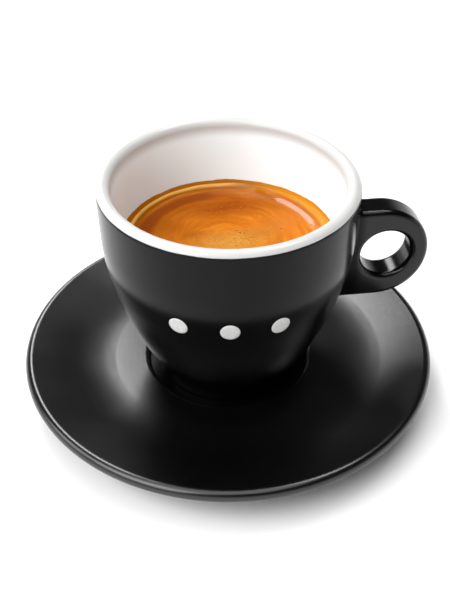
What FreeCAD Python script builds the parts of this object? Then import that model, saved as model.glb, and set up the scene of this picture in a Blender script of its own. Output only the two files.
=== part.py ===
"""An espresso shot: a turned porcelain cup with a ring handle, its saucer and the espresso in it.

The frame stands on the table, with +Z up through the axis that all three pieces are turned about.
The handle points along +X. The cup and the espresso are drawn from the underside of the cup's foot
and are lifted together onto the floor of the saucer's recess. Every size is in millimetres.
"""
import FreeCAD
import Part
import math
import os
import Sketcher

SIZES = [
    ("saucer_radius", 56.5, "saucer, axis to the outside of its lip"),
    ("saucer_rise", 2.6, "saucer, level well to the middle of its rounded lip"),
    ("saucer_lip_round", 1.7, "half the thickness of the saucer's lip"),
    ("saucer_well_radius", 37.5, "saucer, axis to the foot of its slope"),
    ("saucer_well_blend", 5.5, "hollow rounding at the foot of the slope, each way from the crease"),
    ("saucer_wall", 4.0, "thickness of the saucer's floor"),
    ("saucer_stand", 2.8, "table to the underside of the saucer's floor"),
    ("saucer_foot_radius", 30.5, "outside of the saucer's foot ring"),
    ("saucer_foot_width", 3.2, "width of the saucer's foot ring"),
    ("recess_clearance", 3.0, "cup's foot ring to the side of the recess it stands in"),
    ("recess_depth", 1.6, "depth of that recess"),
    ("recess_round", 1.5, "rounding of the recess's upper edge"),
    ("cup_height", 58.5, "cup, foot to rim"),
    ("rim_radius", 33.0, "cup, axis to the outside of its rim"),
    ("rim_round", 1.78, "half the thickness of the cup's rim"),
    ("wall_draft", 1.5, "lean of the upper wall, in degrees"),
    ("shoulder_step", 2.0, "how far the shoulder's lower end lies inside the rim"),
    ("shoulder_drop", 26.3, "rim down to the shoulder's lower end"),
    ("belly_bulge", 0.66, "how far the belly stands out between the base edge and the shoulder"),
    ("base_step", 10.5, "how far the sharp edge above the foot lies inside the rim"),
    ("base_height", 8.5, "foot to that edge"),
    ("cove", 3.5, "radius of the hollow under that edge"),
    ("foot_width", 3.0, "width of the cup's foot ring"),
    ("foot_hollow", 1.6, "hollow under the cup, inside its foot ring"),
    ("inner_draft", 5.6, "lean of the inside wall, in degrees"),
    ("inner_floor", 6.5, "foot to the inside floor of the cup"),
    ("inner_floor_radius", 4.7, "flat part of the inside floor"),
    ("handle_drop", 24.5, "rim down to the middle of the handle"),
    ("handle_width", 8.2, "handle, front face to back face"),
    ("handle_rib", 4.6, "thickness of the handle outside the finger hole"),
    ("handle_band", 6.6, "thickness of the handle above and below the finger hole"),
    ("handle_round", 1.6, "rounding of the handle's edges"),
    ("handle_blend", 1.8, "hollow rounding where the handle meets the wall"),
    ("hole_gap", 1.9, "outside of the rim to the near side of the finger hole"),
    ("hole_radius", 6.8, "radius of the finger hole"),
    ("fill_drop", 17.5, "rim down to the surface of the espresso"),
    ("edge_round", 0.4, "rounding of the foot rings and of the cup's base edge"),
]

# Levels and places that follow from the sizes, as formulas of the sheet's cells.
SAUCER_FLOOR = "Sizes.saucer_stand + Sizes.saucer_wall"
SAUCER_WELL = SAUCER_FLOOR + " + Sizes.recess_depth"
BASE_RADIUS = "Sizes.rim_radius - Sizes.base_step"
FOOT_RADIUS = BASE_RADIUS + " - Sizes.cove"
RECESS_RADIUS = FOOT_RADIUS + " + Sizes.recess_clearance"
RIM_MIDDLE_X = "Sizes.rim_radius - Sizes.rim_round"
RIM_MIDDLE_Z = "Sizes.cup_height - Sizes.rim_round"
HOLE_X = "Sizes.rim_radius + Sizes.hole_gap + Sizes.hole_radius"
HANDLE_Z = "Sizes.cup_height - Sizes.handle_drop"
HANDLE_RADIUS = "Sizes.hole_radius + Sizes.handle_band"
HANDLE_X = HOLE_X + " + Sizes.handle_rib - Sizes.handle_band"
FILL_LEVEL = "Sizes.cup_height - Sizes.fill_drop"
AXIS = "0"
FULL_TURN = 360
NEAR = 0.001


def make_sheet(doc):
    """The sheet of driving sizes, one row for each, with the size's name as the cell's alias."""
    sheet = doc.addObject("Spreadsheet::Sheet", "Sizes")
    for row, (alias, value, words) in enumerate(SIZES, start=1):
        sheet.set(f"A{row}", words)
        sheet.set(f"B{row}", str(value))
        sheet.setAlias(f"B{row}", alias)
    doc.recompute()
    return sheet


def make_body(doc, label, height):
    body = doc.addObject("PartDesign::Body", "Body_" + label)
    body.Label = label
    body.setExpression("Placement.Base.z", height)
    return body


def new_sketch(body, name):
    """An empty sketch on the body's upright XZ plane, whose vertical axis is the turning axis."""
    sketch = body.newObject("Sketcher::SketchObject", name)
    upright = next(f for f in body.Origin.OriginFeatures if f.Role == "XZ_Plane")
    sketch.AttachmentSupport = (upright, [""])
    sketch.MapMode = "FlatFace"
    return sketch


def bind(sketch, kind, *where, to):
    """Add a sized constraint and tie it to a formula of the sheet's cells."""
    index = sketch.addConstraint(Sketcher.Constraint(kind, *where, float(sketch.evalExpression(to))))
    sketch.setExpression(f"Constraints[{index}]", to)


def lean(sketch, edge, degrees):
    """Hold a straight edge at an angle from the horizontal, given as a formula in degrees."""
    angle = math.radians(float(sketch.evalExpression(degrees)))
    index = sketch.addConstraint(Sketcher.Constraint("Angle", edge, angle))
    sketch.setExpression(f"Constraints[{index}]", degrees)


def pin_point(sketch, edge, end, x, z):
    """Hold one end of an edge at x, z; a coordinate of None is left to the tangents."""
    if x == AXIS:
        sketch.addConstraint(Sketcher.Constraint("PointOnObject", edge, end, -2))
    elif x is not None:
        bind(sketch, "DistanceX", -1, 1, edge, end, to=x)
    if z == AXIS:
        sketch.addConstraint(Sketcher.Constraint("PointOnObject", edge, end, -1))
    elif z is not None:
        bind(sketch, "DistanceY", -1, 1, edge, end, to=z)


def arc_between(start, end, radius, turn):
    """The short arc from start to end; turn is +1 when it runs anticlockwise, -1 when clockwise."""
    chord = end - start
    reach = max(radius, chord.Length / 2)
    rise = math.sqrt(reach ** 2 - (chord.Length / 2) ** 2)
    left = FreeCAD.Vector(-chord.y, chord.x, 0).normalize()
    middle = (start + end) / 2 + left * rise * turn
    first, last = (start, end) if turn > 0 else (end, start)
    angles = [math.atan2((p - middle).y, (p - middle).x) for p in (first, last)]
    circle = Part.Circle(middle, FreeCAD.Vector(0, 0, 1), reach)
    return Part.ArcOfCircle(circle, angles[0], angles[1])


def draw_outline(sketch, corners, arcs, smooth=(), guesses=None):
    """Draw a closed outline through the corners, each an (x, z) pair of formulas.

    arcs gives a starting radius and the turn of each edge that is an arc, by the corner it leaves.
    smooth lists the corners where the edges are tangent, and guesses gives a starting place to
    each corner that the tangents settle. Returns the edges, in the order of the corners they leave.
    """
    guesses = guesses or {}
    spots = []
    for number, (x, z) in enumerate(corners):
        rough = guesses.get(number, (x, z))
        values = [float(sketch.evalExpression(word)) for word in rough]
        spots.append(FreeCAD.Vector(values[0], values[1], 0))
    count = len(corners)
    starts, ends = [], []
    for number, spot in enumerate(spots):
        after = spots[(number + 1) % count]
        if number in arcs:
            radius, turn = arcs[number]
            size = float(sketch.evalExpression(radius))
            edge = sketch.addGeometry(arc_between(spot, after, size, turn), False)
            starts.append((edge, 1 if turn > 0 else 2))
            ends.append((edge, 2 if turn > 0 else 1))
        else:
            edge = sketch.addGeometry(Part.LineSegment(spot, after), False)
            starts.append((edge, 1))
            ends.append((edge, 2))
    for number, (x, z) in enumerate(corners):
        kind = "Tangent" if number in smooth else "Coincident"
        sketch.addConstraint(Sketcher.Constraint(kind, *ends[number - 1], *starts[number]))
        pin_point(sketch, *starts[number], x, z)
    return [edge for edge, end in starts]


def turn_about_axis(body, kind, name, sketch):
    feature = body.newObject("PartDesign::" + kind, name)
    feature.Profile = sketch
    feature.ReferenceAxis = (sketch, ["V_Axis"])
    feature.Angle = FULL_TURN
    sketch.Document.recompute()
    return feature


def edges_where(shape, test):
    return [f"Edge{i}" for i, edge in enumerate(shape.Edges, start=1) if test(edge)]


def round_edges(body, name, radius, test):
    """Round every edge of the body so far that passes the test."""
    base = body.Tip
    names = edges_where(base.Shape, test)
    if not names:
        raise RuntimeError(name + ": no edge to round")
    fillet = body.newObject("PartDesign::Fillet", name)
    fillet.Base = (base, names)
    fillet.setExpression("Radius", radius)
    body.Document.recompute()
    return fillet


def is_hoop(edge, places):
    """True for a full circle about the turning axis at one of the (radius, height) places."""
    if not isinstance(edge.Curve, Part.Circle):
        return False
    across = edge.BoundBox.XLength < NEAR or edge.BoundBox.YLength < NEAR
    radius, height = edge.Curve.Radius, edge.Curve.Center.z
    return not across and any(math.hypot(radius - r, height - z) < NEAR for r, z in places)


def make_saucer(doc, sheet):
    body = make_body(doc, "saucer", "0")
    sketch = new_sketch(body, "SaucerOutline")
    lip_x = "Sizes.saucer_radius - Sizes.saucer_lip_round"
    lip_z = SAUCER_WELL + " + Sizes.saucer_rise"
    under = SAUCER_WELL + " - Sizes.saucer_wall"
    foot_in = "Sizes.saucer_foot_radius - Sizes.saucer_foot_width"
    corners = [
        (AXIS, SAUCER_FLOOR),
        (RECESS_RADIUS, SAUCER_FLOOR),
        (RECESS_RADIUS, SAUCER_WELL + " - Sizes.recess_round"),
        (RECESS_RADIUS + " + Sizes.recess_round", SAUCER_WELL),
        ("Sizes.saucer_well_radius", SAUCER_WELL),
        (None, None),
        (None, None),
        ("Sizes.saucer_well_radius", under),
        ("Sizes.saucer_foot_radius", under),
        ("Sizes.saucer_foot_radius", AXIS),
        (foot_in, AXIS),
        (foot_in, "Sizes.saucer_stand"),
        (AXIS, "Sizes.saucer_stand"),
    ]
    guesses = {
        5: (lip_x, lip_z + " + Sizes.saucer_lip_round"),
        6: (lip_x, lip_z + " - Sizes.saucer_lip_round"),
    }
    arcs = {2: ("Sizes.recess_round", -1), 5: ("Sizes.saucer_lip_round", -1)}
    edges = draw_outline(sketch, corners, arcs, (5, 6), guesses)
    bind(sketch, "Radius", edges[2], to="Sizes.recess_round")
    bind(sketch, "Radius", edges[5], to="Sizes.saucer_lip_round")
    pin_point(sketch, edges[5], 3, lip_x, lip_z)
    turn_about_axis(body, "Revolution", "SaucerTurned", sketch)
    foot_out = sheet.saucer_foot_radius
    foot_edges = [(foot_out, 0), (foot_out - sheet.saucer_foot_width, 0)]
    round_edges(body, "SaucerFootRounds", "Sizes.edge_round", lambda e: is_hoop(e, foot_edges))
    well = sheet.saucer_stand + sheet.saucer_wall + sheet.recess_depth
    crease = [(sheet.saucer_well_radius, well)]
    climb = "(Sizes.saucer_rise + Sizes.saucer_lip_round)"
    run = "(Sizes.saucer_radius - Sizes.saucer_lip_round - Sizes.saucer_well_radius)"
    hollow = f"Sizes.saucer_well_blend / tan(atan({climb} / {run}) / 2)"
    round_edges(body, "SaucerWellRound", hollow, lambda e: is_hoop(e, crease))
    return body


def draw_cup_outside(body):
    """The cup as if it were solid: foot ring, cove, belly, shoulder, upper wall and rim."""
    sketch = new_sketch(body, "CupOutline")
    foot_in = FOOT_RADIUS + " - Sizes.foot_width"
    across = "(Sizes.base_step - Sizes.shoulder_step)"
    along = "(Sizes.cup_height - Sizes.shoulder_drop - Sizes.base_height)"
    belly = f"({across}^2 + {along}^2) / (8 * Sizes.belly_bulge) + Sizes.belly_bulge / 2"
    corners = [
        (AXIS, "Sizes.foot_hollow"),
        (foot_in, "Sizes.foot_hollow"),
        (foot_in, AXIS),
        (FOOT_RADIUS, AXIS),
        (FOOT_RADIUS, "Sizes.base_height - Sizes.cove"),
        (BASE_RADIUS, "Sizes.base_height"),
        ("Sizes.rim_radius - Sizes.shoulder_step", "Sizes.cup_height - Sizes.shoulder_drop"),
        (None, None),
        (None, None),
        (RIM_MIDDLE_X, "Sizes.cup_height"),
        (AXIS, "Sizes.cup_height"),
    ]
    guesses = {
        7: ("Sizes.rim_radius - Sizes.shoulder_step / 4", "Sizes.cup_height - Sizes.shoulder_drop / 2"),
        8: ("Sizes.rim_radius", RIM_MIDDLE_Z),
    }
    arcs = {
        4: ("Sizes.cove", -1),
        5: (belly, 1),
        6: (belly, 1),
        8: ("Sizes.rim_round", 1),
    }
    edges = draw_outline(sketch, corners, arcs, (6, 7, 8), guesses)
    bind(sketch, "Radius", edges[4], to="Sizes.cove")
    bind(sketch, "Radius", edges[5], to=belly)
    pin_point(sketch, edges[8], 3, RIM_MIDDLE_X, RIM_MIDDLE_Z)
    lean(sketch, edges[7], "90 - Sizes.wall_draft")
    return sketch


def draw_inside(body, name, top, wall_x, lip):
    """The inside of the cup up to a level; with lip, the rounded inner half of the rim as well."""
    sketch = new_sketch(body, name)
    floor = "Sizes.inner_floor"
    corners = [(AXIS, floor), ("Sizes.inner_floor_radius", floor), (None, None)]
    bowl = "Sizes.rim_radius - 3 * Sizes.rim_round - Sizes.inner_floor_radius"
    guesses = {2: (bowl + " + Sizes.inner_floor_radius", floor + " + " + bowl)}
    arcs = {1: (bowl, 1)}
    smooth = [1, 2]
    if lip:
        corners += [(None, None), (RIM_MIDDLE_X, "Sizes.cup_height")]
        guesses[3] = ("Sizes.rim_radius - 2 * Sizes.rim_round", RIM_MIDDLE_Z)
        arcs[3] = ("Sizes.rim_round", -1)
        smooth.append(3)
    else:
        corners.append((wall_x, top))
    corners.append((AXIS, top))
    edges = draw_outline(sketch, corners, arcs, smooth, guesses)
    lean(sketch, edges[2], "90 - Sizes.inner_draft")
    if lip:
        pin_point(sketch, edges[3], 3, RIM_MIDDLE_X, RIM_MIDDLE_Z)
    return sketch


def draw_handle(body):
    """The outside of the handle: half a ring, with straight arms that end inside the cup's wall."""
    sketch = new_sketch(body, "HandleOutline")
    top = HANDLE_Z + " + (" + HANDLE_RADIUS + ")"
    bottom = HANDLE_Z + " - (" + HANDLE_RADIUS + ")"
    corners = [(BASE_RADIUS, bottom), (HANDLE_X, bottom), (HANDLE_X, top), (BASE_RADIUS, top)]
    edges = draw_outline(sketch, corners, {1: (HANDLE_RADIUS, 1)})
    pin_point(sketch, edges[1], 3, HANDLE_X, None)
    return sketch


def draw_finger_hole(body):
    sketch = new_sketch(body, "FingerHoleOutline")
    middle = FreeCAD.Vector(sketch.evalExpression(HOLE_X), sketch.evalExpression(HANDLE_Z), 0)
    edge = sketch.addGeometry(Part.Circle(middle, FreeCAD.Vector(0, 0, 1), 1), False)
    pin_point(sketch, edge, 3, HOLE_X, HANDLE_Z)
    bind(sketch, "Radius", edge, to="Sizes.hole_radius")
    return sketch


def through_handle(body, kind, name, sketch, length):
    """Add or cut a prism that reaches the same way to both sides of the handle's middle plane."""
    feature = body.newObject("PartDesign::" + kind, name)
    feature.Profile = sketch
    feature.SideType = "Symmetric"
    feature.setExpression("Length", length)
    sketch.Document.recompute()
    return feature


def make_cup(doc, sheet):
    body = make_body(doc, "cup", SAUCER_FLOOR)
    turn_about_axis(body, "Revolution", "CupTurned", draw_cup_outside(body))
    through_handle(body, "Pad", "HandleRing", draw_handle(body), "Sizes.handle_width")
    through_handle(body, "Pocket", "FingerHole", draw_finger_hole(body), "2 * Sizes.rim_radius")
    half = sheet.handle_width / 2

    def on_face(edge):
        """True for an edge that lies in the front or the back face of the handle."""
        middle = (edge.FirstParameter + edge.LastParameter) / 2
        spots = [v.Point for v in edge.Vertexes] + [edge.valueAt(middle)]
        return all(abs(abs(spot.y) - half) < NEAR for spot in spots)

    def on_outline(edge):
        """True for a straight or round edge of the front or back face, root edges left out."""
        return on_face(edge) and isinstance(edge.Curve, (Part.Line, Part.Circle))

    def on_root(edge):
        """True for an edge where the handle runs into the outside of the cup's wall."""
        spots = [v.Point for v in edge.Vertexes]
        on_wall = all(math.hypot(spot.x, spot.y) < sheet.rim_radius - NEAR for spot in spots)
        aside = any(abs(spot.y) > NEAR for spot in spots)
        box = edge.BoundBox
        narrow = box.XMin > 0 and box.YLength < sheet.handle_width + NEAR
        return on_wall and aside and narrow

    round_edges(body, "HandleRounds", "Sizes.handle_round", on_outline)
    round_edges(body, "HandleRoot", "Sizes.handle_blend", on_root)
    base = sheet.rim_radius - sheet.base_step
    foot_out = base - sheet.cove
    hoops = [(base, sheet.base_height), (foot_out, 0), (foot_out - sheet.foot_width, 0)]
    round_edges(body, "FootRounds", "Sizes.edge_round", lambda e: is_hoop(e, hoops))
    inside = draw_inside(body, "InsideOutline", "Sizes.cup_height", None, True)
    turn_about_axis(body, "Groove", "Inside", inside)
    return body


def make_espresso(doc):
    body = make_body(doc, "espresso", SAUCER_FLOOR)
    wall = (
        "Sizes.rim_radius - Sizes.rim_round - Sizes.rim_round / cos(Sizes.inner_draft)"
        " - (Sizes.fill_drop - Sizes.rim_round) * tan(Sizes.inner_draft)"
    )
    sketch = draw_inside(body, "EspressoOutline", FILL_LEVEL, wall, False)
    turn_about_axis(body, "Revolution", "EspressoTurned", sketch)
    return body


def check_objects(doc):
    for thing in doc.Objects:
        if "Invalid" in thing.State or "Error" in thing.State:
            raise RuntimeError(f"{thing.Label} failed: {thing.State}")


def write_solids(bodies):
    os.makedirs("parts", exist_ok=True)
    for body in bodies:
        shape = body.Shape
        if shape.isNull() or not shape.isValid() or len(shape.Solids) != 1:
            raise RuntimeError(body.Label + " is not one sound solid")
        shape.exportStep(os.path.join("parts", body.Label + ".step"))
        print(body.Label, "volume", round(shape.Volume), "mm3", shape.BoundBox)


def main():
    doc = FreeCAD.newDocument("EspressoShot")
    sheet = make_sheet(doc)
    bodies = [make_saucer(doc, sheet), make_cup(doc, sheet), make_espresso(doc)]
    doc.recompute()
    check_objects(doc)
    write_solids(bodies)


main()
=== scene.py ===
"""Looks of the espresso shot: two glazes, printed dots, and the espresso with its crema.

Lengths are in metres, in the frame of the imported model: the cup's axis is the Z axis, the table
is at zero and the handle points along +X.
"""
import math
import random

import bmesh
import bpy
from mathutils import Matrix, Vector
from mathutils import noise
from mathutils.bvhtree import BVHTree


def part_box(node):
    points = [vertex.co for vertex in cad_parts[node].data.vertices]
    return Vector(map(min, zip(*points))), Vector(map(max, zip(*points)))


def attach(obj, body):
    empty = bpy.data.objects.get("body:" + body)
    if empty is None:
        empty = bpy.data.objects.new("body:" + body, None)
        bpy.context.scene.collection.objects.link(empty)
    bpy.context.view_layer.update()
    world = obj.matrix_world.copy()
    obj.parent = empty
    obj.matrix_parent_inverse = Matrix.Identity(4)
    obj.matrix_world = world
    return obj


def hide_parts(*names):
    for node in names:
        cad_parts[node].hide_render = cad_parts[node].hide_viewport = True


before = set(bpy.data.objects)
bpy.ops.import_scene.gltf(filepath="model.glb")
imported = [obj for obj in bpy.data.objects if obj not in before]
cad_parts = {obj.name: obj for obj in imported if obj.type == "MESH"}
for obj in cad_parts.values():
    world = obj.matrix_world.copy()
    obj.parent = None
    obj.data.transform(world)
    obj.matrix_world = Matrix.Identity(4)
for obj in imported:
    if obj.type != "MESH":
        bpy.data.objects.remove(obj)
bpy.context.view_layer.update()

MM = 0.001
SEED = 7

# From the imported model: the top of the rim, and the level and radius of the drink at the wall.
RIM_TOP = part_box("cup")[1].z
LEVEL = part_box("espresso")[1].z
DRINK_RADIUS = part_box("espresso")[1].x

# ---------------------------------------------------------------- shader helpers


def opaque(colour):
    """A colour with full alpha. A socket stays as it is."""
    return (*colour, 1.0) if isinstance(colour, tuple) else colour


class Nodes:
    """A material's node tree, with short calls to add and link nodes."""

    def __init__(self, name):
        self.material = bpy.data.materials.new(name)
        self.material.use_nodes = True
        self.tree = self.material.node_tree
        self.shader = self.tree.nodes["Principled BSDF"]

    def add(self, kind, inputs=None, **settings):
        """Add a node, set its settings, and feed its inputs, by name or number."""
        node = self.tree.nodes.new(kind)
        for key, value in settings.items():
            setattr(node, key, value)
        for key, value in (inputs or {}).items():
            self.feed(node, key, value)
        return node

    def feed(self, node, key, value):
        """Set an input to a constant, or link it to another node's output."""
        if isinstance(value, bpy.types.NodeSocket):
            self.tree.links.new(value, node.inputs[key])
        else:
            node.inputs[key].default_value = value

    def set(self, **inputs):
        """Feed the shader's own sockets, named with underscores for spaces."""
        for key, value in inputs.items():
            self.feed(self.shader, key.replace("_", " "), value)

    def place(self):
        """The point of the surface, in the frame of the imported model."""
        return self.add("ShaderNodeTexCoord").outputs["Object"]

    def math(self, operation, first, second=0.0, third=0.0):
        inputs = {0: first, 1: second, 2: third}
        return self.add("ShaderNodeMath", inputs, operation=operation).outputs[0]

    def vector_math(self, operation, first, second):
        inputs = {0: first, 1: second}
        return self.add("ShaderNodeVectorMath", inputs, operation=operation).outputs[0]

    def noise(self, vector, size, detail=2.0, roughness=0.5, output="Fac"):
        """Fractal noise whose largest lumps are about size across."""
        inputs = {"Vector": vector, "Scale": 1.0 / size, "Detail": detail, "Roughness": roughness}
        return self.add("ShaderNodeTexNoise", inputs).outputs[output]

    def spread(self, value, low, high, to_low=0.0, to_high=1.0, smooth=False):
        """Map the range from low to high onto another one, and hold the value at its ends."""
        inputs = {"Value": value, "From Min": low, "From Max": high}
        inputs.update({"To Min": to_low, "To Max": to_high})
        kind = "SMOOTHSTEP" if smooth else "LINEAR"
        return self.add("ShaderNodeMapRange", inputs, interpolation_type=kind).outputs[0]

    def window(self, value, opens, closes):
        """One between two soft edges and zero outside. Each edge goes from zero to one."""
        first = self.spread(value, *opens, smooth=True)
        return self.math("MULTIPLY", first, self.spread(value, *closes, smooth=True))

    def ramp(self, value, stops):
        """A colour ramp through two or more stops, each a position and a colour."""
        node = self.add("ShaderNodeValToRGB", {"Fac": value})
        ramp = node.color_ramp
        while len(ramp.elements) < len(stops):
            ramp.elements.new(0.5)
        for element, (position, colour) in zip(ramp.elements, stops):
            element.position = position
            element.color = opaque(colour)
        return node.outputs["Color"]

    def mix(self, amount, first, second):
        """A blend of two colours."""
        inputs = {0: amount, 6: opaque(first), 7: opaque(second)}
        return self.add("ShaderNodeMix", inputs, data_type="RGBA").outputs[2]

    def mix_value(self, amount, first, second):
        """A blend of two numbers."""
        inputs = {0: amount, 2: first, 3: second}
        return self.add("ShaderNodeMix", inputs, data_type="FLOAT").outputs[0]

    def bump(self, height, distance, strength):
        inputs = {"Height": height, "Distance": distance, "Strength": strength}
        return self.add("ShaderNodeBump", inputs).outputs["Normal"]


def radius_and_height(nodes, place):
    """Distance from the cup's axis, and height above the table, at each point of a surface."""
    apart = nodes.add("ShaderNodeSeparateXYZ", {0: place})
    across = nodes.math("POWER", apart.outputs[0], 2.0)
    along = nodes.math("MULTIPLY_ADD", apart.outputs[1], apart.outputs[1], across)
    return nodes.math("SQRT", along), apart.outputs[2]


# ---------------------------------------------------------------- mesh helpers


def turns(sides):
    """Even angles round a full turn."""
    return [2 * math.pi * step / sides for step in range(sides)]


def join_rings(mesh, middle, rings):
    """Faces from a middle vertex out to the first ring, and on from each ring to the next."""
    sides = len(rings[0])
    for step in range(sides):
        mesh.faces.new((middle, rings[0][step], rings[0][(step + 1) % sides]))
    for inner, outer in zip(rings, rings[1:]):
        for step in range(sides):
            after = (step + 1) % sides
            mesh.faces.new((inner[step], outer[step], outer[after], inner[after]))


def finish_mesh(mesh, name, material):
    """Turn a bmesh into a smooth piece that rides on the object."""
    bmesh.ops.recalc_face_normals(mesh, faces=mesh.faces)
    data = bpy.data.meshes.new(name)
    mesh.to_mesh(data)
    mesh.free()
    data.shade_smooth()
    data.materials.append(material)
    piece = bpy.data.objects.new(name, data)
    bpy.context.scene.collection.objects.link(piece)
    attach(piece, "root")
    return piece


# ---------------------------------------------------------------- glazes

BLACK = (0.0011, 0.0011, 0.0013)
# Painted shade and light on one white glaze: darker on the brightly lit rim, paler and bluer
# inside.
RIM_WHITE_PAINTED_SHADE = (0.50, 0.50, 0.49)
INSIDE_WHITE_PAINTED_LIGHT = (0.83, 0.92, 0.95)

# Relief of the black glaze: orange peel with a finer grain on it, and broad clouds of gloss.
PEEL_SIZE = 1.6 * MM
GRAIN_SIZE = 0.28 * MM
GRAIN_SHARE = 0.35
CLOUD_SIZE = 14 * MM

SAUCER_ROUGHNESS = (0.20, 0.30)
SAUCER_RELIEF, SAUCER_RELIEF_SHARE = 0.014 * MM, 0.8
# The glaze goes from dull on the recess's floor to its full shine at the well.
RECESS_EDGE = (6.9 * MM, 7.7 * MM)
SAUCER_SHINE = (0.1, 0.62)

CUP_ROUGHNESS = (0.15, 0.24)
CUP_RELIEF, CUP_RELIEF_SHARE = 0.012 * MM, 0.5
# Shine of the black glaze on the wall and on the handle, and the radii it changes between.
CUP_SHINE = (0.14, 0.34)
HANDLE_START = (34.0 * MM, 36.0 * MM)
WHITE_ROUGHNESS = 0.16
WHITE_SHINE = 0.35
WHITE_LUMPS = 5 * MM
# Black meets white just under the rim, along a line that wanders a little and has a soft edge.
GLAZE_LINE = RIM_TOP - 1.1 * MM
GLAZE_WANDER, GLAZE_WANDER_SIZE = 0.12 * MM, 6 * MM
GLAZE_SOFTNESS = 0.08 * MM
# Between these heights, a cone that lies within the cup's wall tells its inside from its outside.
CONE_HEIGHTS = (13 * MM, 47 * MM)
CONE_RADII = (18.5 * MM, 30.8 * MM)
INSIDE_FLOOR = 12.5 * MM
# Heights where the rim's darker painted white turns into the paler, bluer white painted inside.
PAINTED_WHITE_START = (RIM_TOP - 1.6 * MM, RIM_TOP - 5 * MM)


def black_glaze_parts(nodes, place, roughness):
    """Roughness and relief of the satin black glaze."""
    peel = nodes.noise(place, PEEL_SIZE, 2.0, 0.55)
    grain = nodes.noise(place, GRAIN_SIZE, 2.0, 0.6)
    cloud = nodes.noise(place, CLOUD_SIZE, 3.0, 0.5)
    rough = nodes.spread(cloud, 0.0, 1.0, *roughness)
    height = nodes.math("MULTIPLY_ADD", grain, GRAIN_SHARE, peel)
    return rough, height


def make_saucer_glaze():
    """Black all over, with less shine in the recess, where little light falls."""
    nodes = Nodes("saucer_black_glaze")
    place = nodes.place()
    rough, relief = black_glaze_parts(nodes, place, SAUCER_ROUGHNESS)
    _, height = radius_and_height(nodes, place)
    nodes.set(Base_Color=opaque(BLACK), Roughness=rough)
    nodes.set(Specular_IOR_Level=nodes.spread(height, *RECESS_EDGE, *SAUCER_SHINE, smooth=True))
    nodes.set(Normal=nodes.bump(relief, SAUCER_RELIEF, SAUCER_RELIEF_SHARE))
    return nodes.material


def make_cup_glaze():
    """Black outside and white inside, with the edge between them just under the rim."""
    nodes = Nodes("cup_two_glazes")
    place = nodes.place()
    radius, height = radius_and_height(nodes, place)
    wander = nodes.noise(place, GLAZE_WANDER_SIZE)
    wander = nodes.spread(wander, 0.0, 1.0, -GLAZE_WANDER, GLAZE_WANDER)
    line = nodes.math("ADD", height, wander)
    over = nodes.spread(line, GLAZE_LINE - GLAZE_SOFTNESS, GLAZE_LINE + GLAZE_SOFTNESS)
    within = nodes.math("LESS_THAN", radius, nodes.spread(height, *CONE_HEIGHTS, *CONE_RADII))
    inside = nodes.math("MULTIPLY", within, nodes.math("GREATER_THAN", height, INSIDE_FLOOR))
    white = nodes.math("MAXIMUM", over, inside)
    rough, relief = black_glaze_parts(nodes, place, CUP_ROUGHNESS)
    relief = nodes.mix_value(white, relief, nodes.noise(place, WHITE_LUMPS, 1.0))
    # The white is painted darker on the rim and paler and bluer inside: painted shade and painted
    # light.
    painted_white = nodes.mix(nodes.spread(height, *PAINTED_WHITE_START, smooth=True), RIM_WHITE_PAINTED_SHADE, INSIDE_WHITE_PAINTED_LIGHT)
    shine = nodes.spread(radius, *HANDLE_START, *CUP_SHINE)
    nodes.set(Base_Color=nodes.mix(white, BLACK, painted_white))
    nodes.set(Roughness=nodes.mix_value(white, rough, WHITE_ROUGHNESS))
    nodes.set(Specular_IOR_Level=nodes.mix_value(white, shine, WHITE_SHINE))
    nodes.set(Normal=nodes.bump(relief, CUP_RELIEF, CUP_RELIEF_SHARE))
    return nodes.material


# ---------------------------------------------------------------- printed dots

DOT_HALF_WIDTH = 2.4 * MM
DOT_HALF_HEIGHT = 2.65 * MM
DOT_PROUD = 0.05 * MM
DOT_SUNK = 0.04 * MM
DOT_RINGS, DOT_SIDES = 6, 48
# Angle from the front, in degrees, and height of each dot. The front is an angle from +X.
FRONT = math.radians(-96.6)
DOTS = [(-23.1, 41.8 * MM), (0.0, 41.7 * MM), (22.5, 41.8 * MM)]
DOT_PAINT = [(0.3, (0.48, 0.48, 0.475)), (0.7, (0.55, 0.55, 0.54))]
DOT_PATCH_SIZE, DOT_GRAIN_SIZE = 1.2 * MM, 0.4 * MM
# Rays start well outside the wall, and a little way out from the dot's middle.
WALL_REACH = 0.06
DOT_REACH = 0.01


def make_dot_paint():
    nodes = Nodes("printed_dot")
    place = nodes.place()
    grain = nodes.noise(place, DOT_GRAIN_SIZE)
    nodes.set(Base_Color=nodes.ramp(nodes.noise(place, DOT_PATCH_SIZE), DOT_PAINT))
    nodes.set(Roughness=0.38, Normal=nodes.bump(grain, 0.01 * MM, 0.5))
    return nodes.material


def cup_surface():
    """The cup's CAD mesh, ready for rays that look for its outside."""
    mesh = bmesh.new()
    mesh.from_mesh(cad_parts["cup"].data)
    tree = BVHTree.FromBMesh(mesh)
    mesh.free()
    return tree


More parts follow.
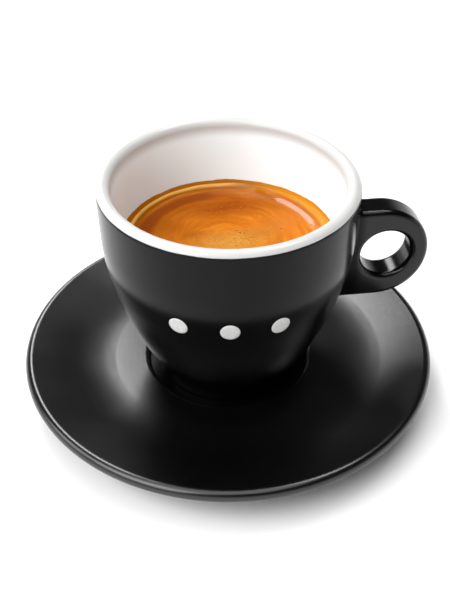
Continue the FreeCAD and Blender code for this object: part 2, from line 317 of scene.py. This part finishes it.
def make_dot(tree, name, angle, height, paint):
    """A round spot of enamel that lies on the curved wall, with a rounded edge."""
    out = Vector((math.cos(angle), math.sin(angle), 0))
    middle, normal, _, _ = tree.ray_cast(out * WALL_REACH + Vector((0, 0, height)), -out)
    side = Vector((-math.sin(angle), math.cos(angle), 0))
    up = normal.cross(side)
    up = up if up.z > 0 else -up
    mesh = bmesh.new()

    def vertex(flat, lift):
        hit, face, _, _ = tree.ray_cast(middle + flat + normal * DOT_REACH, -normal)
        return mesh.verts.new(hit + face * lift)

    crown = vertex(Vector((0, 0, 0)), DOT_PROUD)
    edge = [side * (math.cos(turn) * DOT_HALF_WIDTH) + up * (math.sin(turn) * DOT_HALF_HEIGHT)
            for turn in turns(DOT_SIDES)]
    rings = []
    for ring in range(1, DOT_RINGS + 1):
        share = ring / DOT_RINGS
        rings.append([vertex(flat * share, DOT_PROUD * (1.0 - share ** 8)) for flat in edge])
    rings.append([vertex(flat, -DOT_SUNK) for flat in edge])
    join_rings(mesh, crown, rings)
    finish_mesh(mesh, name, paint)


# ---------------------------------------------------------------- espresso

# The calm middle lies this far below the level. A slope makes most of the climb to the level,
# and a lip at the wall makes the rest.
CALM_DROP = 1.45 * MM
SLOPE_SHARE, LIP_SHARE = 0.70, 0.30
LIP_FOOT = 27.0 * MM
# Radii of the slope's foot and top, where it is wide and where it is steep. The steep side is an
# angle from +X, and fades in over a range of the cosine of the angle away from it.
WIDE_SLOPE = (21.6 * MM, 25.6 * MM)
STEEP_SLOPE = (24.5 * MM, 26.9 * MM)
STEEP_SIDE = math.radians(118)
STEEP_START, STEEP_RANGE = 0.30, 0.45
# A low bead of foam runs round on top of the slope.
BEAD_RADIUS = 26.2 * MM
BEAD_HEIGHT = 0.34 * MM
BEAD_WIDTH = 0.55 * MM
BEAD_BREAKS = 4.3
# How far the slope wanders and how ragged the line at the wall is, each with its lumps to a
# radian, and the height and the size of the lumps of swell and foam.
UNEVEN, UNEVEN_LUMPS = 0.5 * MM, 1.7
RAGGED, RAGGED_LUMPS = 0.24 * MM, 5.0
RAGGED_FINE, RAGGED_FINE_LUMPS = 0.12 * MM, 15.0
SWELL, SWELL_SIZE = 0.05 * MM, 7 * MM
FOAM, FOAM_SIZE = 0.012 * MM, 0.7 * MM

# The cup's inside leans outwards, so the ragged line reaches out as it climbs, and the drink is
# a hair wider than its solid so that no gap shows at the wall.
WALL_LEAN = math.tan(math.radians(5.6))
WALL_OVERLAP = 0.03 * MM
TOP_RINGS, TOP_SIDES = 150, 360
TOP_CROWDING = 1.2
# Depth below the level, and radius, of the rings under the surface.
SIDE_RINGS = [(3 * MM, 27.6 * MM), (12 * MM, 26.6 * MM)]
BOTTOM_RADIUS, BOTTOM_GAP = 8 * MM, 2 * MM


def smooth(share):
    share = min(max(share, 0.0), 1.0)
    return share * share * (3.0 - 2.0 * share)


def surface_height(radius, angle):
    """Height of the drink's surface, relative to its level at the wall.

    The calm middle lies lowest. A soft slope leads up to a collar of foam, which meets the wall
    at the level.
    """
    round_spot = Vector((math.cos(angle), math.sin(angle), 0))
    spot = Vector((radius * math.cos(angle), radius * math.sin(angle), 0))
    uneven = UNEVEN * noise.noise(round_spot * UNEVEN_LUMPS)
    steep = smooth((math.cos(angle - STEEP_SIDE) - STEEP_START) / STEEP_RANGE)
    foot, top = (wide + (narrow - wide) * steep for wide, narrow in zip(WIDE_SLOPE, STEEP_SLOPE))
    slope = smooth((radius - foot - uneven) / (top - foot))
    lip = smooth((radius - LIP_FOOT) / (DRINK_RADIUS - LIP_FOOT))
    bead = BEAD_HEIGHT * math.exp(-((radius - BEAD_RADIUS - 0.45 * uneven) / BEAD_WIDTH) ** 2)
    bead *= 0.75 + 0.6 * noise.noise(round_spot * BEAD_BREAKS + Vector((3, 0, 0)))
    swell = SWELL * noise.noise(spot / SWELL_SIZE) * (1.0 - lip)
    foam = FOAM * noise.noise(spot / FOAM_SIZE) * (1.0 - lip)
    ragged = RAGGED * noise.noise(round_spot * RAGGED_LUMPS)
    ragged += RAGGED_FINE * noise.noise(round_spot * RAGGED_FINE_LUMPS)
    rise = CALM_DROP * (SLOPE_SHARE * slope + LIP_SHARE * lip - 1.0) + ragged * lip
    return rise + bead + swell + foam


def make_espresso(material):
    """The drink, from just inside the cup's wall, with a finely divided top."""
    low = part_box("espresso")[0].z
    mesh = bmesh.new()
    middle = mesh.verts.new((0, 0, LEVEL + surface_height(0.0, 0.0)))
    rings = []
    for ring in range(1, TOP_RINGS + 1):
        # The rings lie closer together towards the wall.
        radius = (DRINK_RADIUS + WALL_OVERLAP) * (1.0 - (1.0 - ring / TOP_RINGS) ** TOP_CROWDING)
        row = []
        for angle in turns(TOP_SIDES):
            height = LEVEL + surface_height(radius, angle)
            reach = radius + WALL_LEAN * max(height - LEVEL, 0.0)
            row.append(mesh.verts.new((reach * math.cos(angle), reach * math.sin(angle), height)))
        rings.append(row)
    for depth, radius in SIDE_RINGS + [(LEVEL - low - BOTTOM_GAP, BOTTOM_RADIUS)]:
        rings.append([mesh.verts.new((radius * math.cos(angle), radius * math.sin(angle),
                                      LEVEL - depth)) for angle in turns(TOP_SIDES)])
    join_rings(mesh, middle, rings)
    mesh.faces.new(rings[-1])
    piece = finish_mesh(mesh, "espresso_crema", material)
    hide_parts("espresso")


# ---------------------------------------------------------------- crema

# Streaks run round the cup: their colours, and the size of their lumps, where one unit is a
# radian round the cup or one step out from the axis.
STREAK_COLOURS = [(0.30, (0.33, 0.078, 0.002)), (0.50, (0.43, 0.115, 0.004)),
                  (0.72, (0.54, 0.175, 0.010))]
STREAK_SIZE = 0.625
STREAK_STEP = 2.4 * MM
# Noise with lumps of the second size pushes the pattern about, over the first distance.
DRIFT, DRIFT_SIZE = 5 * MM, 9 * MM
# Soft oval patches: middle and half sizes in millimetres, turn in degrees, colour, and how much
# of it shows in the middle.
PATCHES = [
    ((16, 6), (14, 10), 60, (0.43, 0.130, 0.014), 0.85),
    ((2, 16), (20, 8), 0, (0.21, 0.036, 0.0006), 0.90),
    ((-16, 9), (10, 8), 0, (0.28, 0.060, 0.001), 0.80),
    ((1, -1), (16, 9), 0, (0.46, 0.215, 0.040), 0.95),
    ((-9, 4), (5, 2.6), 20, (0.26, 0.070, 0.005), 0.85),
    ((9, 2), (6, 3.4), 0, (0.36, 0.125, 0.012), 0.75),
]
MOTTLE, MOTTLE_SIZE = (0.36, 0.10, 0.006), 1.3 * MM
# Rings of colour: a darker band, a painted highlight on the bead, the collar, and the edge at the
# wall. Each pair of radii goes from where a ring is absent to where it is full.
DARK_BAND_OPENS, DARK_BAND_CLOSES = (19.6 * MM, 21.4 * MM), (25.0 * MM, 23.6 * MM)
HIGHLIGHT_OPENS, HIGHLIGHT_CLOSES = (25.5 * MM, 26.1 * MM), (26.9 * MM, 26.3 * MM)
COLLAR_START = (24.6 * MM, 25.6 * MM)
EDGE_START = (26.9 * MM, 27.7 * MM)
DARK_BAND, DARK_BAND_SHARE = (0.20, 0.032, 0.0006), 0.8
PAINTED_BEAD_HIGHLIGHT, PAINTED_BEAD_HIGHLIGHT_SHARES = (0.74, 0.37, 0.075), (0.55, 0.95)
# The collar's own orange, with painted shade on the left and painted light on the right, facing
# the light.
COLLAR_LEFT_PAINTED_SHADE = (0.27, 0.080, 0.0008)
COLLAR_RIGHT_PAINTED_LIGHT = (0.60, 0.225, 0.004)
EDGE, EDGE_SHARE = (0.36, 0.105, 0.001), 0.55
# Some of them change across the cup: pairs of x, from absent to full, or from left to right.
DARK_BAND_ACROSS = (8 * MM, -4 * MM)
HIGHLIGHT_ACROSS = (9 * MM, 3 * MM)
COLLAR_LIGHT_ACROSS = (2 * MM, 24 * MM)
WET_ACROSS = (-4 * MM, 8 * MM)
# The slope is wet, up to just short of the wall, and more so on the handle's side.
WET_START = (21.5 * MM, 23.2 * MM)
WET_END = (27.1 * MM, 26.5 * MM)
DRY_ROUGHNESS, WET_ROUGHNESS = 0.22, 0.07
DRY_SHINE, WET_SHINE = 0.03, 0.28
WET_LEFT, WET_AT_WALL = 0.2, 0.15


def soft_oval(nodes, place, middle, half_sizes, turn):
    """A soft oval patch: one in its middle, zero at its edge. Sizes are in millimetres."""
    shift = nodes.vector_math("SUBTRACT", place, (middle[0] * MM, middle[1] * MM, LEVEL))
    turned = nodes.add("ShaderNodeVectorRotate", {"Vector": shift, "Angle": math.radians(-turn)})
    across, along = half_sizes
    scale = (1 / (across * MM), 1 / (along * MM), 0.0)
    fitted = nodes.vector_math("MULTIPLY", turned.outputs[0], scale)
    length = nodes.add("ShaderNodeVectorMath", {0: fitted}, operation="LENGTH")
    return nodes.spread(length.outputs["Value"], 1.0, 0.0, smooth=True)


def drifted(nodes, place):
    """Places pushed about by soft noise, so that what follows them is uneven."""
    drift = nodes.noise(place, DRIFT_SIZE, 3.0, output="Color")
    push = nodes.vector_math("SUBTRACT", drift, (0.5, 0.5, 0.5))
    return nodes.vector_math("ADD", nodes.vector_math("MULTIPLY", push, (DRIFT,) * 3), place)


def make_crema():
    """Golden foam with browner streaks that run round the cup, and darker and paler rings."""
    nodes = Nodes("crema")
    place = nodes.place()
    warped = drifted(nodes, place)
    radius, _ = radius_and_height(nodes, warped)
    true_radius, _ = radius_and_height(nodes, place)
    apart = nodes.add("ShaderNodeSeparateXYZ", {0: warped})
    across = apart.outputs[0]
    ring = nodes.add("ShaderNodeCombineXYZ")
    for index in (0, 1):
        nodes.feed(ring, index, nodes.math("DIVIDE", apart.outputs[index], radius))
    nodes.feed(ring, 2, nodes.math("DIVIDE", radius, STREAK_STEP))
    streaks = nodes.noise(ring.outputs[0], STREAK_SIZE, 4.0, 0.6)
    colour = nodes.ramp(streaks, STREAK_COLOURS)
    for middle, sizes, turn, shade, most in PATCHES:
        spot = nodes.math("MULTIPLY", soft_oval(nodes, warped, middle, sizes, turn), most)
        colour = nodes.mix(spot, colour, shade)
    fine = nodes.noise(warped, MOTTLE_SIZE, 4.0, 0.65)
    colour = nodes.mix(nodes.spread(fine, 0.35, 0.75, 0.0, 0.35), colour, MOTTLE)
    # A darker band near the wall, full on the left side and absent on the right.
    dark_band = nodes.window(true_radius, DARK_BAND_OPENS, DARK_BAND_CLOSES)
    dark_band = nodes.math("MULTIPLY", dark_band, nodes.spread(across, *DARK_BAND_ACROSS))
    colour = nodes.mix(nodes.math("MULTIPLY", dark_band, DARK_BAND_SHARE), colour, DARK_BAND)
    # The collar, with painted shade on the left and painted light on the right.
    side = nodes.spread(across, *COLLAR_LIGHT_ACROSS, smooth=True)
    collar_lit_and_shaded = nodes.mix(side, COLLAR_LEFT_PAINTED_SHADE, COLLAR_RIGHT_PAINTED_LIGHT)
    colour = nodes.mix(nodes.spread(true_radius, *COLLAR_START, smooth=True), colour, collar_lit_and_shaded)
    edge = nodes.spread(true_radius, *EDGE_START, 0.0, EDGE_SHARE, smooth=True)
    colour = nodes.mix(edge, colour, EDGE)
    # A painted highlight along the top of the bead, on the left half of the cup, broken up by the
    # streaks.
    line = nodes.window(true_radius, HIGHLIGHT_OPENS, HIGHLIGHT_CLOSES)
    line = nodes.math("MULTIPLY", line, nodes.spread(across, *HIGHLIGHT_ACROSS))
    broken = nodes.spread(streaks, 0.30, 0.50, *PAINTED_BEAD_HIGHLIGHT_SHARES)
    colour = nodes.mix(nodes.math("MULTIPLY", line, broken), colour, PAINTED_BEAD_HIGHLIGHT)
    wet = nodes.spread(true_radius, *WET_START, smooth=True)
    wet = nodes.math("MULTIPLY", wet, nodes.spread(true_radius, *WET_END, WET_AT_WALL, 1.0))
    wet = nodes.math("MULTIPLY", wet, nodes.spread(across, *WET_ACROSS, WET_LEFT, 1.0))
    nodes.set(Base_Color=colour)
    nodes.set(Roughness=nodes.mix_value(wet, DRY_ROUGHNESS, WET_ROUGHNESS))
    nodes.set(Specular_IOR_Level=nodes.mix_value(wet, DRY_SHINE, WET_SHINE))
    foam = nodes.noise(place, 0.45 * MM, 3.0, 0.6)
    nodes.set(Normal=nodes.bump(foam, 0.012 * MM, 0.35))
    return nodes.material


# ---------------------------------------------------------------- bubbles

BUBBLE_MIDDLES = [(0.35, (0.25, 0.078, 0.004)), (0.65, (0.40, 0.150, 0.014))]
# Painted sheen: the pale colour the bubbles' edges take on as they turn away from the view.
BUBBLE_EDGE_SHEEN = (0.66, 0.34, 0.06)
# Middle x and y, spread, count and largest radius of each cluster of bubbles, in millimetres.
BUBBLE_CLUSTERS = [
    (5.0, 1.5, 3.4, 90, 0.34),
    (11.0, 4.0, 4.0, 60, 0.26),
    (-3.0, 1.0, 5.0, 50, 0.22),
    (2.0, -8.0, 8.0, 90, 0.30),
    (0.0, 6.0, 12.0, 60, 0.16),
]
SMALLEST_BUBBLE = 0.06 * MM
BUBBLE_REACH = 20 * MM
# Shares of a bubble's radius: how far it lies below the surface, and its height.
BUBBLE_SUNK, BUBBLE_HEIGHT = 0.35, 0.85
BUBBLE_RINGS, BUBBLE_SIDES = 4, 12


def make_bubble_skin():
    """Thin coffee-brown bubbles, darker in the middle, with a painted sheen that turns their
    edges pale.
    """
    nodes = Nodes("crema_bubbles")
    facing = nodes.add("ShaderNodeLayerWeight", {"Blend": 0.5}).outputs["Facing"]
    dark = nodes.ramp(nodes.noise(nodes.place(), 3 * MM), BUBBLE_MIDDLES)
    nodes.set(Base_Color=nodes.mix(nodes.spread(facing, 0.35, 0.80), dark, BUBBLE_EDGE_SHEEN))
    nodes.set(Roughness=0.25, Specular_IOR_Level=0.05)
    return nodes.material


def make_dome(mesh, x, y, size):
    """One bubble: a dome with a flat bottom under the surface."""
    surface = LEVEL + surface_height(math.hypot(x, y), math.atan2(y, x))
    low = surface - BUBBLE_SUNK * size
    crown = mesh.verts.new((x, y, low + BUBBLE_HEIGHT * size))
    rings = []
    for ring in range(1, BUBBLE_RINGS + 1):
        tilt = 0.5 * math.pi * ring / BUBBLE_RINGS
        rings.append([mesh.verts.new((x + size * math.sin(tilt) * math.cos(turn),
                                      y + size * math.sin(tilt) * math.sin(turn),
                                      low + BUBBLE_HEIGHT * size * math.cos(tilt)))
                      for turn in turns(BUBBLE_SIDES)])
    join_rings(mesh, crown, rings)
    mesh.faces.new(rings[-1][::-1])


def make_bubbles(material):
    """Small domes of foam that float on the calm middle."""
    mesh = bmesh.new()
    taken = []
    for middle_x, middle_y, spread, count, largest in BUBBLE_CLUSTERS:
        for _ in range(count):
            x = random.gauss(middle_x, spread * 0.5) * MM
            y = random.gauss(middle_y, spread * 0.5) * MM
            size = largest * random.uniform(0.3, 1.0) ** 1.5 * MM + SMALLEST_BUBBLE
            if any(math.hypot(x - a, y - b) < size + c for a, b, c in taken):
                continue
            if math.hypot(x, y) > BUBBLE_REACH:
                continue
            taken.append((x, y, size))
            make_dome(mesh, x, y, size)
    finish_mesh(mesh, "crema_bubbles", material)


# ---------------------------------------------------------------- stage, light and camera

FLOOR_HALF = 3.0
FLOOR_GLOW_START = (0.35, 1.05)
FLOOR_GLOW = 0.95
# Strength of the room's light at the horizon and overhead, and the heights on the unit sphere
# of directions between which it changes.
HORIZON, OVERHEAD = 0.95, 0.04
HORIZON_TOP = (0.12, 0.44)
# Name, bearing from +Y towards +X, rise, distance, width, depth and radiance of each light.
# Angles are in degrees.
SOFTBOXES = [
    ("key_light", -14, 45, 0.9, 0.25, 0.60, 11.3),
    ("strip_light", 45, 66, 0.9, 0.50, 0.10, 13.5),
    ("top_light", 200, 80, 1.0, 0.90, 0.90, 2.2),
    ("left_light", -85, 32, 0.9, 0.40, 0.50, 4.3),
    ("front_light", 234, 42, 1.1, 0.80, 0.70, 5.9),
]
LIGHTS_AIM = Vector((0, 0, 0.03))
CAMERA_SPOT = (-25.96 * MM, -195.41 * MM, 183.49 * MM)
CAMERA_DOWN = 38.54
CAMERA_TURN = math.radians(-8.0) + 0.0119
LENS, SENSOR = 55.38, 36.0


def make_floor():
    """A pale table top, lit from within far from the cup so that it ends without a dark band."""
    mesh = bpy.data.meshes.new("floor")
    corners = [(-FLOOR_HALF, -FLOOR_HALF, 0), (FLOOR_HALF, -FLOOR_HALF, 0),
               (FLOOR_HALF, FLOOR_HALF, 0), (-FLOOR_HALF, FLOOR_HALF, 0)]
    mesh.from_pydata(corners, [], [(0, 1, 2, 3)])
    floor = bpy.data.objects.new("floor", mesh)
    bpy.context.scene.collection.objects.link(floor)
    nodes = Nodes("floor_paint")
    distance, _ = radius_and_height(nodes, nodes.place())
    glow = nodes.spread(distance, *FLOOR_GLOW_START, 0.0, FLOOR_GLOW, smooth=True)
    nodes.set(Base_Color=(0.90, 0.90, 0.90, 1.0), Roughness=0.9, Specular_IOR_Level=0.1)
    nodes.set(Emission_Color=(1.0, 1.0, 1.0, 1.0), Emission_Strength=glow)
    mesh.materials.append(nodes.material)


def make_world():
    """A dim room with a pale band round the horizon."""
    world = bpy.data.worlds.new("studio")
    world.use_nodes = True
    tree = world.node_tree
    background = tree.nodes["Background"]
    background.inputs["Color"].default_value = (1.0, 1.0, 1.0, 1.0)
    place = tree.nodes.new("ShaderNodeTexCoord")
    apart = tree.nodes.new("ShaderNodeSeparateXYZ")
    band = tree.nodes.new("ShaderNodeMapRange")
    band.interpolation_type = "SMOOTHSTEP"
    limits = (*HORIZON_TOP, HORIZON, OVERHEAD)
    for key, value in zip(("From Min", "From Max", "To Min", "To Max"), limits):
        band.inputs[key].default_value = value
    tree.links.new(place.outputs["Generated"], apart.inputs[0])
    tree.links.new(apart.outputs["Z"], band.inputs["Value"])
    tree.links.new(band.outputs[0], background.inputs["Strength"])
    bpy.context.scene.world = world


def make_softbox(name, bearing, rise, distance, width, depth, radiance):
    """A soft light that faces the cup."""
    data = bpy.data.lights.new(name, "AREA")
    data.shape = "RECTANGLE"
    data.size = width
    data.size_y = depth
    data.energy = radiance * math.pi * width * depth
    light = bpy.data.objects.new(name, data)
    turn, lift = math.radians(bearing), math.radians(rise)
    flat = math.cos(lift)
    towards = Vector((math.sin(turn) * flat, math.cos(turn) * flat, math.sin(lift)))
    light.location = towards * distance + LIGHTS_AIM
    light.rotation_euler = (-towards).to_track_quat("-Z", "Y").to_euler()
    bpy.context.scene.collection.objects.link(light)


def make_camera():
    data = bpy.data.cameras.new("camera")
    data.lens = LENS
    data.sensor_width = SENSOR
    data.sensor_fit = "AUTO"
    data.clip_start = 0.01
    camera = bpy.data.objects.new("camera", data)
    camera.location = CAMERA_SPOT
    camera.rotation_euler = (math.radians(90.0 - CAMERA_DOWN), 0.0, CAMERA_TURN)
    bpy.context.scene.collection.objects.link(camera)
    bpy.context.scene.camera = camera


def main():
    random.seed(SEED)
    noise.seed_set(SEED)
    bpy.context.scene.view_settings.view_transform = "Standard"
    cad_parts["cup"].material_slots[0].material = make_cup_glaze()
    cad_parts["saucer"].material_slots[0].material = make_saucer_glaze()
    make_espresso(make_crema())
    make_bubbles(make_bubble_skin())
    tree = cup_surface()
    paint = make_dot_paint()
    for number, (turn, height) in enumerate(DOTS, start=1):
        make_dot(tree, f"printed_dot_{number}", FRONT + math.radians(turn), height, paint)
    make_floor()
    make_world()
    for softbox in SOFTBOXES:
        make_softbox(*softbox)
    make_camera()


main()
